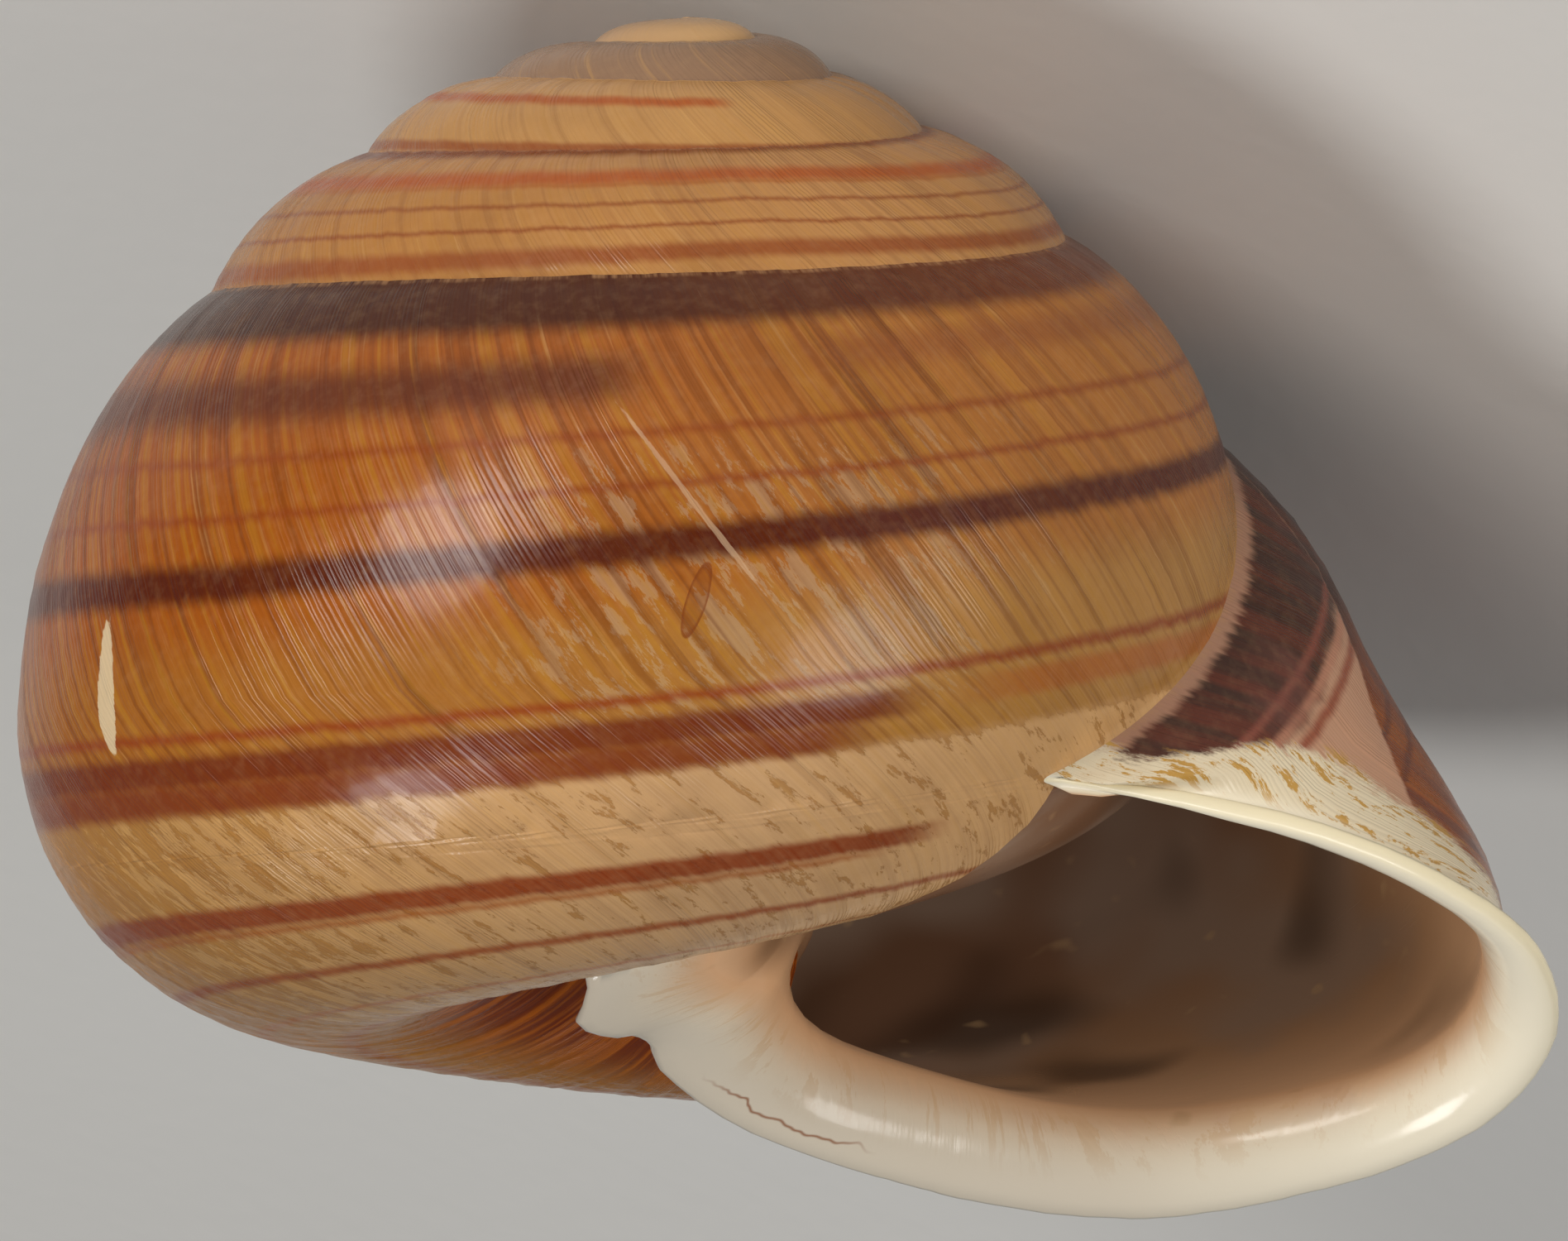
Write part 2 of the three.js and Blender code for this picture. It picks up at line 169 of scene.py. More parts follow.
# angle on another whorl's outline, and how far out of it a point is
def locate(t, r, h):
    centre, depth, outward, inward, up, down, shoulder = whorlAt(t)
    power = np.where(h <= depth, shoulder, 2.0)
    a = (r - centre) / np.where(r >= centre, outward, inward)
    b = (depth - h) / np.where(h <= depth, up, down)
    angle = np.arctan2(signedPower(b, power / 2), signedPower(a, power / 2))
    angle = np.where(angle > rad(150), angle - 2 * np.pi, angle)
    return angle, np.abs(a) ** power + np.abs(b) ** power - 1


# where a whorl meets the one before it: side 1 at the suture, -1 beside the axis
def meeting(t, side, inset=0.0):
    t = np.atleast_1d(np.asarray(t, float))
    trial = side * np.linspace(rad(2), rad(150 if side > 0 else 230), 300)[None, :]
    beyond = locate(t[:, None] - 1, *outline(t[:, None], trial, inset))[1]
    hit = np.argmax(beyond < 0, axis=1)
    none = beyond[np.arange(len(t)), hit] >= 0
    hit = np.clip(hit, 1, 299)
    outer = trial[0, hit - 1]
    inner = trial[0, hit]
    for _ in range(40):
        middle = (outer + inner) / 2
        buried = locate(t - 1, *outline(t, middle, inset))[1] < 0
        inner = np.where(buried, middle, inner)
        outer = np.where(buried, outer, middle)
    found = (outer + inner) / 2
    found[none] = found[~none][0]
    return found


def onPrevious(t, angle, inset=0.0):
    return locate(t - 1, *outline(t, angle, inset))[0]


# growth lines bend back towards the base, as the leaning lip does
def lineTime(t, angle):
    degrees = np.degrees(angle)
    back = np.where(degrees > -90, rise((80 - degrees) / 170), rise((degrees + 191) / 101))
    return t + 0.17 * back


def lipRadius(theta):
    turned = theta - rad(lipShape["turn"])
    power = lipShape["roundness"]
    a = np.abs(np.cos(turned) / lipShape["halfWidth"]) ** power
    b = np.abs(np.sin(turned) / lipShape["halfHeight"]) ** power
    dents = 0.45 * swell(theta, 38, 25) + 0.32 * swell(theta, 125, 25) - 0.32 * swell(theta, -14, 15)
    return (a + b) ** (-1 / power) - dents


# small irregular waves, the same on every run
def waver(x, seed, octaves=4):
    total = 0 * x
    for k in range(octaves):
        total = total + np.sin(x * 2.17 ** k + seed * (k + 1.7)) * 0.62 ** k
    return total / 1.8


# zones are (lip, inside, umbilicus)
outsideZone = (0, 0, 0)
insideZone = (0, 1, 0)
umbilicusZone = (0, 0, 1)


# grids of points with the t, angle, zone, whorls short of the lip, and degrees from the suture of each
class Sheets:
    def __init__(self):
        self.grids = []

    def add(self, name, points, t, angle, zone, inward=False, toLip=-1.0, fromSuture=90.0):
        grid = points.shape[:2]
        data = {
            "t": np.broadcast_to(t, grid),
            "angle": np.broadcast_to(angle, grid),
            "zone": np.broadcast_to(zone, points.shape),
            "toLip": np.broadcast_to(toLip, grid),
            "fromSuture": np.broadcast_to(fromSuture, grid),
        }
        self.grids.append((name, points, data, inward))


def lipAxes():
    across = np.array([1.0, 0, 0])
    down = np.array([0, math.sin(rad(lipShape["lean"])), -math.cos(rad(lipShape["lean"]))])
    out = np.array([0, -math.cos(rad(lipShape["lean"])), -math.sin(rad(lipShape["lean"]))])
    return across, down, out


def bezier(a, b, c, d, s):
    return a * (1 - s) ** 3 + 3 * b * s * (1 - s) ** 2 + 3 * c * s * s * (1 - s) + d * s ** 3


def length(vectors):
    return np.linalg.norm(vectors, axis=1)[:, None]


# seams between whorls, at every column of growth
def findSeams():
    columns = shellShape["columns"]
    t = np.arange(-int((shellShape["whorls"] - 1) * columns), 1) / columns
    seams = SimpleNamespace(t=t)
    seams.suture = meeting(t, 1)
    seams.axis = meeting(t, -1)
    seams.grown = rise((t - t[0]) / shellShape["apexTurns"])[:, None]
    seams.suturePoints = surface(t, seams.suture) * seams.grown
    seams.axisPoints = surface(t, seams.axis)
    seams.sutureBelow = onPrevious(t, seams.suture)
    seams.axisBelow = onPrevious(t, seams.axis)
    return seams


def seamAt(seams, t):
    return int(round((t - seams.t[0]) * shellShape["columns"]))


# seams of the inner wall, which runs on a little further beside the axis
def findInnerSeams():
    columns = shellShape["columns"]
    wall = shellShape["wall"]
    t = np.arange(-int(shellShape["cavityTurns"] * columns), 1) / columns
    inner = SimpleNamespace(t=t)
    inner.runOn = t + lipShape["columellaTurn"] * rise((t + 0.3) / 0.3)
    inner.suture = meeting(t, 1, wall)
    inner.axis = meeting(inner.runOn, -1, wall)
    inner.sutureBelow = onPrevious(t, inner.suture, wall)
    inner.axisBelow = onPrevious(inner.runOn, inner.axis, wall)
    return inner


# spire: what shows of each whorl between its suture and the next
def addSpire(sheets, seams):
    columns = shellShape["columns"]
    times = np.arange(-int(shellShape["whorls"] * columns), -columns + 1) / columns
    x = steps(shellShape["spireRows"])
    apexAngle = rad(110)
    spire = np.zeros((len(times), len(x), 3))
    angles = np.zeros((len(times), len(x)))
    for i, t in enumerate(times):
        start = np.zeros(3)
        first = apexAngle
        if t >= seams.t[0]:
            here = seamAt(seams, t)
            start = seams.suturePoints[here]
            first = mixed(apexAngle, seams.suture[here], seams.grown[here, 0])
        below = seamAt(seams, t + 1)
        angles[i] = mixed(first, seams.sutureBelow[below], x)
        strip = surface(t, angles[i])
        startShift = (start - strip[0]) * ((1 - x) ** 3)[:, None]
        endShift = (seams.suturePoints[below] - strip[-1]) * (x ** 3)[:, None]
        spire[i] = strip + startShift + endShift
    spire[0] = 0
    fromSuture = np.degrees(angles[:, :1] - angles)
    sheets.add("spire", spire, times[:, None], angles, outsideZone, fromSuture=fromSuture)
    return spire


# umbilicus: what shows of each whorl beside the axis, closed at the top of its funnel
def addUmbilicus(sheets, seams):
    columns = shellShape["columns"]
    times = np.arange(-shellShape["umbilicusTurns"] * columns, -columns + 1) / columns
    low = np.array([seamAt(seams, t) for t in times])
    x = steps(shellShape["umbilicusRows"])[None, :]
    angles = mixed(seams.axisBelow[low + columns][:, None], seams.axis[low][:, None], x)
    umbilicus = surface(times[:, None], angles)
    umbilicus[:, 0] = seams.axisPoints[low + columns]
    umbilicus[:, -1] = seams.axisPoints[low]
    sheets.add("umbilicus", umbilicus, times[:, None], angles, umbilicusZone)
    rim = umbilicus[: columns + 1, -1]
    top = np.array([0, 0, (umbilicus[0, :, 2].mean() + umbilicus[:columns, -1, 2].mean()) / 2])
    for name, edge in (("umbilicusTop", rim), ("umbilicusEnd", umbilicus[0])):
        fan = np.stack([edge, np.repeat(top[None], len(edge), 0)], 1)
        sheets.add(name, fan, times[0], rad(-170), umbilicusZone)
    return umbilicus


# first column of the last whorl: spire, lip at the corner, mouth, lip at the plate, umbilicus
def firstColumn(seams, inner):
    spireRows = shellShape["spireRows"]
    umbilicusRows = shellShape["umbilicusRows"]
    columellaTurn = lipShape["columellaTurn"]
    mouthSteps = steps(shellShape["mouthRows"])
    k = steps(shellShape["lipRows"])[1:-1]
    lens = np.sin(np.pi * k)
    slimmer = 0.6 + 0.9 * rise((k - 0.4) / 0.5)
    seam = seamAt(seams, -1)
    first = SimpleNamespace(seam=seam)
    first.cornerT = -1 + lipShape["cornerReach"] * lens
    first.plateT = -1 + lipShape["plateReach"] * lens ** slimmer + columellaTurn * k
    first.cornerAngle = mixed(seams.sutureBelow[-1], inner.sutureBelow[-1], k)
    first.plateAngle = mixed(seams.axisBelow[-1], inner.axisBelow[-1], k)
    first.t = np.concatenate([
        np.full(spireRows + 1, -1.0),
        first.cornerT,
        -1 + columellaTurn * mouthSteps ** 2,
        first.plateT[::-1],
        np.full(umbilicusRows + 1, -1.0),
    ])
    first.angle = np.concatenate([
        mixed(seams.suture[seam], seams.sutureBelow[-1], steps(spireRows)),
        first.cornerAngle,
        mixed(inner.sutureBelow[-1], inner.axisBelow[-1], mouthSteps),
        first.plateAngle[::-1],
        mixed(seams.axisBelow[-1], seams.axis[seam], steps(umbilicusRows)),
    ])
    first.share = (first.angle - first.angle[0]) / (first.angle[-1] - first.angle[0])
    return first


# how much sooner than the suture each row reaches the neck of the lip
def neckLag(seams, share):
    out = lipAxes()[2]
    corner = np.array(lipShape["corner"])
    rowAngle = mixed(seams.suture[-1], seams.axis[-1], share)
    early = np.full(len(share), -0.4)
    late = np.full(len(share), 0.09)
    for _ in range(40):
        middle = (early + late) / 2
        short = (surface(middle, rowAngle) - corner) @ out + lipShape["neckDepth"] < 0
        early = np.where(short, middle, early)
        late = np.where(short, late, middle)
    return -early * rise(share / 0.1) * rise((1 - share) / 0.1)


# how much of the lag and of the lip's outline a column at t has taken on
def lagShare(t):
    return rise((t + 0.95) / 0.93)


def neckShare(t):
    return rise((t + lipShape["neckTurn"]) / lipShape["neckTurn"])


def lipCentre():
    across, down, _ = lipAxes()
    corner = np.array(lipShape["corner"])
    return corner + across * (lipShape["centre"][0] - corner[0]) + down * lipShape["centre"][1]


def outwardAt(theta):
    across, down, _ = lipAxes()
    return np.cos(theta)[:, None] * across + np.sin(theta)[:, None] * down


# last whorl, whose columns turn from radial to the lean of the lip, and near the
# mouth are drawn onto the lip's outline less its flare
def growLastWhorl(seams, first):
    columns = shellShape["columns"]
    share = first.share
    across, down, out = lipAxes()
    last = SimpleNamespace(column=np.arange(-columns, 1) / columns, lag=neckLag(seams, share))
    column = last.column[:, None]
    settle = 1 - rise((column + 1) / 0.62)
    last.t = column + (first.t + 1)[None, :] * settle - last.lag[None, :] * lagShare(column)
    last.angle = mixed(seams.suture[first.seam:][:, None], seams.axis[first.seam:][:, None], share[None, :])
    points = surface(last.t, last.angle)
    points[:, 0] = seams.suturePoints[first.seam:]
    points[:, -1] = seams.axisPoints[first.seam:]
    offset = points[-1] - lipCentre()
    last.theta = np.unwrap(np.arctan2(offset @ down, offset @ across))
    flare = lipShape["flareAbove"] + lipShape["flareBelow"] * rise((last.theta + rad(75)) / rad(75))
    rim = outwardAt(last.theta) * (lipRadius(last.theta) - flare)[:, None]
    target = lipCentre() + rim - out * lipShape["neckDepth"]
    drawn = rise(share / 0.12) * rise((0.86 - share) / 0.16)
    last.neckShift = (target - points[-1]) * drawn[:, None]
    last.points = points + neckShare(column)[:, :, None] * last.neckShift
    return last


# inner wall, the body whorl's own skin that closes the mouth, and the end of the tube
def addInside(sheets, inner, first, last):
    wall = shellShape["wall"]
    share = first.share
    column = inner.t[:, None]
    runOn = (inner.runOn - inner.t)[:, None]
    innerT = column - last.lag[None, :] * lagShare(column) + runOn * rise((share - 0.72) / 0.28)
    innerAngle = mixed(inner.suture[:, None], inner.axis[:, None], share[None, :])
    skin = surface(innerT, innerAngle, wall) + neckShare(column)[:, :, None] * last.neckShift
    skin[:, 0] = surface(inner.t, inner.suture, wall)
    skin[:, -1] = surface(inner.runOn, inner.axis, wall)
    sheets.add("inner", skin, innerT, innerAngle, insideZone, inward=True, toLip=column)
    x = steps(shellShape["mouthRows"])[None, :]
    mouthT = column - 1 + runOn * x ** 2
    mouthAngle = mixed(inner.sutureBelow[:, None], inner.axisBelow[:, None], x)
    mouth = surface(mouthT, mouthAngle)
    mouth[:, 0] = skin[:, 0]
    mouth[:, -1] = skin[:, -1]
    # painted shade: the skin inside the mouth takes the darker colour of deeper in the tube
    sheets.add("mouth", mouth, mouthT, mouthAngle, insideZone, toLip=column - lipShape["mouthShade"])
    end = np.concatenate([skin[0], mouth[0]]).mean(0)
    for name, edge, inward in (("innerEnd", skin[0], True), ("mouthEnd", mouth[0], False)):
        fan = np.stack([edge, np.repeat(end[None], len(edge), 0)], 1)
        sheets.add(name, fan, inner.t[0], rad(-60), insideZone, inward)
    return skin, innerT, mouth


def lastStep(points):
    return (points[-1] - points[-2]) / length(points[-1] - points[-2])


# lip: out along the flare, round its thick edge, back along the broad inner face
def shapeLip(first, last, skin):
    lipRows = shellShape["lipRows"]
    share = first.share
    out = lipAxes()[2]
    neck = last.points[-1]
    throat = skin[-1]
    turned = last.theta - rad(16) * rise((share - 0.8) / 0.2)
    plate = rise((turned - rad(164)) / rad(20))
    chipped = lipShape["chips"] * plate * np.abs(waver(turned * 62, 2.0, 5))
    reach = lipRadius(turned) + lipShape["plateGrowth"] * plate - chipped + 0.04 * waver(turned * 9, 5.0)
    outwards = outwardAt(turned)
    half = (lipShape["thickness"] * (0.75 + 0.5 * rise((share - 0.1) / 0.5)) / 2)[:, None]
    half = half * (1 - 0.45 * plate[:, None])
    hub = lipCentre() + outwards * reach[:, None] - outwards * half * 0.6
    back = hub - out * half
    front = hub + out * half
    backSpan = length(back - neck)
    frontSpan = length(front - throat)
    backRow = round(lipRows * 0.4)
    frontRow = round(lipRows * 0.62)
    lip = np.zeros((lipRows + 1, len(share), 3))
    for row in range(lipRows + 1):
        if row <= backRow:
            handles = (neck + lastStep(last.points) * backSpan * 0.42, back - outwards * backSpan * 0.3)
            lip[row] = bezier(neck, handles[0], handles[1], back, row / backRow)
        elif row < frontRow:
            turn = -np.pi / 2 + np.pi * (row - backRow) / (frontRow - backRow)
            lip[row] = hub + outwards * half * 0.6 * np.cos(turn) + out * half * np.sin(turn)
        else:
            handles = (front - outwards * frontSpan * 0.45, throat + lastStep(skin) * frontSpan * 0.35)
            inwards = (row - frontRow) / (lipRows - frontRow)
            lip[row] = bezier(front, handles[0], handles[1], throat, inwards)
    return lip


# both ends of the lip are drawn down onto the body whorl
def footLip(lip, seams, inner, first, last, skin):
    share = first.share
    cornerT = np.concatenate([[-1], first.cornerT, [-1]])
    cornerAngle = np.concatenate([[seams.sutureBelow[-1]], first.cornerAngle, [inner.sutureBelow[-1]]])
    plateT = np.concatenate([[-1], first.plateT, [-1 + lipShape["columellaTurn"]]])
    plateAngle = np.concatenate([[seams.axisBelow[-1]], first.plateAngle, [inner.axisBelow[-1]]])
    cornerFoot = surface(cornerT, cornerAngle)
    plateFoot = surface(plateT, plateAngle)
    nearCorner = (1 - rise(share / 0.07))[None, :, None]
    nearPlate = (1 - rise((1 - share) / 0.18))[None, :, None]
    cornerShift = (cornerFoot - lip[:, 0])[:, None] * nearCorner
    plateShift = (plateFoot - lip[:, -1])[:, None] * nearPlate
    lip = lip + cornerShift + plateShift
    lip[:, 0] = cornerFoot
    lip[:, -1] = plateFoot
    lip[0] = last.points[-1]
    lip[-1] = skin[-1]
    return lip


def buildSheets():
    spireRows = shellShape["spireRows"]
    lipRows = shellShape["lipRows"]
    umbilicusRows = shellShape["umbilicusRows"]
    sheets = Sheets()
    seams = findSeams()
    inner = findInnerSeams()
    spire = addSpire(sheets, seams)
    umbilicus = addUmbilicus(sheets, seams)
    first = firstColumn(seams, inner)
    last = growLastWhorl(seams, first)
    skin, innerT, mouth = addInside(sheets, inner, first, last)
    lip = footLip(shapeLip(first, last, skin), seams, inner, first, last, skin)
    lipZone = np.zeros(lip.shape)
    acrossLip = steps(lipRows)[:, None]
    lipZone[:, :, 0] = rise((acrossLip - 0.12) / 0.2) * (1 - rise((acrossLip - 0.7) / 0.3))
    lipZone[:, :, 1] = rise((acrossLip - 0.72) / 0.28)
    lipT = mixed(last.t[-1][None, :], innerT[-1][None, :] + 0.02, acrossLip)
    lipHeight = 0.16 * np.minimum(acrossLip, 1 - acrossLip)
    sheets.add("lip", lip, lipT, last.angle[-1][None, :], lipZone, toLip=lipHeight)

    # the last whorl's first column is stitched to everything that ends on it
    points = last.points
    mouthStart = spireRows + lipRows
    plateStart = mouthStart + shellShape["mouthRows"]
    points[0, : spireRows + 1] = spire[-1]
    points[0, spireRows: mouthStart + 1] = lip[:, 0]
    points[0, plateStart: plateStart + lipRows + 1] = lip[::-1, -1]
    points[0, mouthStart: plateStart + 1] = mouth[-1]
    points[0, -umbilicusRows - 1:] = umbilicus[-1]
    lastZone = np.zeros(points.shape)
    lastZone[:, :, 2] = rise((np.degrees(-last.angle) - 103) / 24)
    fromSuture = np.degrees(last.angle[:, :1] - last.angle)
    column = last.column[:, None]
    sheets.add("last", points, last.t, last.angle, lastZone, toLip=column, fromSuture=fromSuture)
    return sheets


# how far the coloured bands climb or sink on the whorls, in degrees at each t
bandDrift = {
    "t": [-3.0, -2.05, -1.9, -1.7, -1.4, -1.1, -1.0, -0.85, -0.75, -0.65, -0.4, 0.1],
    "degrees": [12, 12, 15, 11, 8, 5.5, 4.3, 0, -3, -4.6, -6, -6],
}


# mean length grown along the whorl's outside, in mm
def grownLength(t):
    table = np.linspace(-shellShape["whorls"], 0.2, 600)
    centre, _, outward = whorlAt(table)[:3]
    total = np.cumsum(2 * np.pi * (centre + outward)) * (table[1] - table[0])
    return np.interp(t, table, total)


# join the sheets into one closed skin, with the growth data on each face corner
def joinSheets(sheets):
    points = []
    faces = []
    data = {"t": [], "angle": [], "zone": [], "toLip": [], "fromSuture": []}
    start = 0
    for _, grid, values, inward in sheets.grids:
        tall, wide = grid.shape[:2]
        i, j = np.meshgrid(np.arange(tall - 1), np.arange(wide - 1), indexing="ij")
        a = (i * wide + j).ravel() + start
        quads = np.stack([a, a + wide, a + wide + 1, a + 1], 1)
        faces.append(quads[:, ::-1] if inward else quads)
        points.append(grid.reshape(-1, 3))
        for name in data:
            data[name].append(values[name].reshape(tall * wide, -1))
        start += tall * wide
    points = np.concatenate(points)
    faces = np.concatenate(faces)
    data = {name: np.concatenate(parts).squeeze() for name, parts in data.items()}
    shared, welded = np.unique(np.round(points, 4), axis=0, return_inverse=True)
    welded = welded.ravel()
    corners = np.concatenate([faces[:, [0, 1, 2]], faces[:, [0, 2, 3]]])
    sides = welded[corners]
    whole = (sides[:, 0] != sides[:, 1]) & (sides[:, 1] != sides[:, 2]) & (sides[:, 0] != sides[:, 2])
    corners = corners[whole]
    sides = sides[whole]
    owner = np.zeros(len(shared), int)
    owner[welded] = np.arange(len(points))
    return shared, sides, corners, owner, data


# low ripples of growth, raised on the outside of the shell only
def rippled(points, sides, owner, data):
    a, b, c = (points[sides[:, k]] for k in range(3))
    facing = np.cross(b - a, c - a)
    normals = np.zeros_like(points)
    for k in range(3):
        np.add.at(normals, sides[:, k], facing)
    normals /= np.maximum(length(normals), 1e-9)
    grown = grownLength(lineTime(data["t"], data["angle"]))[owner]
    zone = data["zone"][owner]
    plain = (1 - zone[:, 0]) * (1 - zone[:, 1]) * rise((data["t"][owner] + 4.6) / 1.5)
    height = 0.022 * waver(grown * 1.9, 1.0, 3) + 0.014 * waver(grown * 5.3, 4.0, 3)
    return points + normals * (height * plain)[:, None]


def layDown():
    downwards = Vector(shellShape["restingDown"]).normalized()
    turn = downwards.rotation_difference(Vector((0, 0, -1)))
    facing = turn @ Vector((0, 1, 0))
    spin = Quaternion((0, 0, 1), math.pi / 2 - math.atan2(facing.y, facing.x))
    return (spin @ turn).to_matrix()


def cornerAttribute(mesh, name, values):
    attribute = mesh.attributes.new(name, "FLOAT_VECTOR", "CORNER")
    attribute.data.foreach_set("vector", np.ascontiguousarray(values, dtype=np.float32).ravel())


def buildShell():
    points, sides, corners, owner, data = joinSheets(buildSheets())
    points = rippled(points, sides, owner, data)
    lay = np.array(layDown())
    points = points @ lay.T
    low = points.min(0)
    high = points.max(0)
    origin = np.array([(low[0] + high[0]) / 2, (low[1] + high[1]) / 2, low[2] + shellShape["restingFlat"]])
    points = points - origin
    points[:, 2] = np.maximum(points[:, 2], 0)
    mesh = bpy.data.meshes.new("shell")
    mesh.vertices.add(len(points))
    mesh.vertices.foreach_set("co", (points * mm).astype(np.float32).ravel())
    mesh.loops.add(sides.size)
    mesh.loops.foreach_set("vertex_index", sides.astype(np.int32).ravel())
    mesh.polygons.add(len(sides))
    mesh.polygons.foreach_set("loop_start", np.arange(len(sides), dtype=np.int32) * 3)
    mesh.polygons.foreach_set("use_smooth", np.ones(len(sides), bool))
    mesh.update(calc_edges=True)
    mesh.validate()
    cornerData = {name: values[corners.ravel()] for name, values in data.items()}
    t = cornerData["t"]
    angle = cornerData["angle"]
    band = np.degrees(angle) - np.interp(t, bandDrift["t"], bandDrift["degrees"])
    reach = np.interp(t, stageTable[:, 0], stageTable[:, 3])
    alongLine = reach * angle
    grown = grownLength(lineTime(t, angle))
    cornerAttribute(mesh, "growth", np.stack([t, cornerData["toLip"], band], 1))
    cornerAttribute(mesh, "lines", np.stack([grown, alongLine, cornerData["fromSuture"]], 1))
    cornerAttribute(mesh, "zone", cornerData["zone"])
    shell = bpy.data.objects.new("snailShell", mesh)
    bpy.context.scene.collection.objects.link(shell)
    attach(shell, "root")
    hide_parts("shell")
    print("shell mesh:", len(points), "points,", len(sides), "triangles")
    return shell, lay, origin


def colour(code):
    channels = [int(code[i:i + 2], 16) / 255 for i in (1, 3, 5)]
    linear = [c / 12.92 if c <= 0.04045 else ((c + 0.055) / 1.055) ** 2.4 for c in channels]
    return (*linear, 1.0)


# a socket that takes part in sums
class Wire:
    def __init__(self, tree, socket=None):
        self.tree = tree
        self.socket = socket

    def node(self, kind, settings=None, inputs=None, output=0):
        made = self.tree.nodes.new("ShaderNode" + kind)
        for name, value in (settings or {}).items():
            if name == "stops":
                fillRamp(made.color_ramp, value)
            else:
                setattr(made, name, value)
        for name, value in (inputs or {}).items():
            if isinstance(value, Wire):
                self.tree.links.new(value.socket, made.inputs[name])
            else:
                made.inputs[name].default_value = value
        return Wire(self.tree, made.outputs[output]) if made.outputs else None

    def maths(self, operation, first, second=0.0):
        return self.node("Math", {"operation": operation}, {0: first, 1: second})

    def __add__(self, other):
        return self.maths("ADD", self, other)

    def __radd__(self, other):
        return self.maths("ADD", other, self)

    def __sub__(self, other):
        return self.maths("SUBTRACT", self, other)

    def __rsub__(self, other):
        return self.maths("SUBTRACT", other, self)

    def __mul__(self, other):
        return self.maths("MULTIPLY", self, other)

    def __rmul__(self, other):
        return self.maths("MULTIPLY", other, self)

    def __truediv__(self, other):
        return self.maths("DIVIDE", self, other)

    def __rtruediv__(self, other):
        return self.maths("DIVIDE", other, self)

    def distance(self):
        return self.maths("ABSOLUTE", self)

    # 0 at low, 1 at high, eased between
    def ease(self, low, high):
        settings = {"interpolation_type": "SMOOTHSTEP"}
        return self.node("MapRange", settings, {0: self, 1: low, 2: high})

    def blend(self, first, second):
        settings = {"data_type": "RGBA", "blend_type": "MIX"}
        return self.node("Mix", settings, {0: self, 6: first, 7: second}, output=2)

    def parts(self):
        made = self.tree.nodes.new("ShaderNodeSeparateXYZ")
        self.tree.links.new(self.socket, made.inputs[0])
        return [Wire(self.tree, made.outputs[k]) for k in range(3)]


def fillRamp(ramp, stops):
    while len(ramp.elements) > 1:
        ramp.elements.remove(ramp.elements[0])
    ramp.elements[0].position = stops[0][0]
    ramp.elements[0].color = stops[0][1]
    for position, value in stops[1:]:
        ramp.elements.new(position).color = value


# colours the shell takes on as it grows, by t
groundByStage = [
    (-5.6, "#cfa778"),
    (-4.9, "#c8a070"),
    (-4.5, "#b08a66"),
    (-4.1, "#8f6f55"),
    (-3.55, "#93735a"),
    (-3.15, "#a97c4c"),
    (-2.9, "#bd8c52"),
    (-2.3, "#b8854f"),
    (-1.95, "#b9844d"),
    (-1.6, "#a86c26"),
    (-1.1, "#b06e2c"),
    (-0.95, "#a8692a"),
    (-0.85, "#9c5518"),
    (-0.72, "#984d0c"),
    (-0.6, "#964806"),
    (0.1, "#8a3f06"),
]
ochreByStage = [
    (-1.3, "#b88a4c"),
    (-0.95, "#ae7a3a"),
    (-0.85, "#a0682a"),
    (-0.62, "#9a5408"),
    (0.0, "#8f4a06"),
]
creamByStage = [
    (-1.3, "#d8a468"),
    (-1.0, "#d4a46c"),
    (-0.9, "#c89e70"),
    (-0.7, "#bb8c50"),
    (-0.6, "#c0781a"),
    (0.0, "#a8600a"),
]
sutureByStage = [
    (-2.6, "#8a4214"),
    (-1.6, "#6e2c08"),
    (-1.05, "#642808"),
    (-0.85, "#3c1200"),
    (-0.6, "#2e0b00"),
    (0.0, "#260800"),
]

lipEnd = 0.2  # a t past the lip, for bands that never stop

# bands round the whorls: middle, half width and softness in degrees, the t between which
# each shows, colour and depth
bands = [
    (45.0, 3.2, 2.6, -2.9, -1.25, "#a84c06", 0.9),
    (41.5, 0.6, 0.9, -2.4, -1.3, "#a35a18", 0.6),
    (45.5, 3.0, 2.4, -1.25, -0.915, "#8a4a22", 0.55),
    (43.5, 4.0, 3.0, -0.86, lipEnd, "#562006", 0.85),
    (34.0, 0.7, 0.9, -2.3, lipEnd, "#863a0a", 0.7),
    (26.0, 0.6, 0.8, -2.4, lipEnd, "#86380a", 0.75),
    (17.5, 2.5, 1.6, -3.6, -1.3, "#8f4518", 0.85),
    (17.5, 2.4, 1.4, -1.4, lipEnd, "#521a03", 0.97),
    (-4.0, 0.9, 1.0, -1.6, lipEnd, "#8a380e", 0.85),
    (-9.6, 2.8, 1.4, -1.6, -0.965, "#a8581c", 0.7),
    (-10.2, 2.8, 1.3, -0.94, lipEnd, "#6e2a0c", 0.93),
    (-15.6, 2.9, 1.5, -0.925, lipEnd, "#793213", 0.88),
    (-41.0, 2.6, 1.2, -0.957, lipEnd, "#86340a", 0.92),
    (-44.9, 0.8, 1.0, -0.94, lipEnd, "#9a4c14", 0.7),
    (-58.5, 1.3, 1.2, -1.0, lipEnd, "#92400c", 0.85),
    (-75.0, 1.0, 1.2, -1.0, lipEnd, "#a85a1c", 0.7),
    (-92.0, 2.4, 2.5, -1.0, lipEnd, "#9c4c12", 0.6),
]

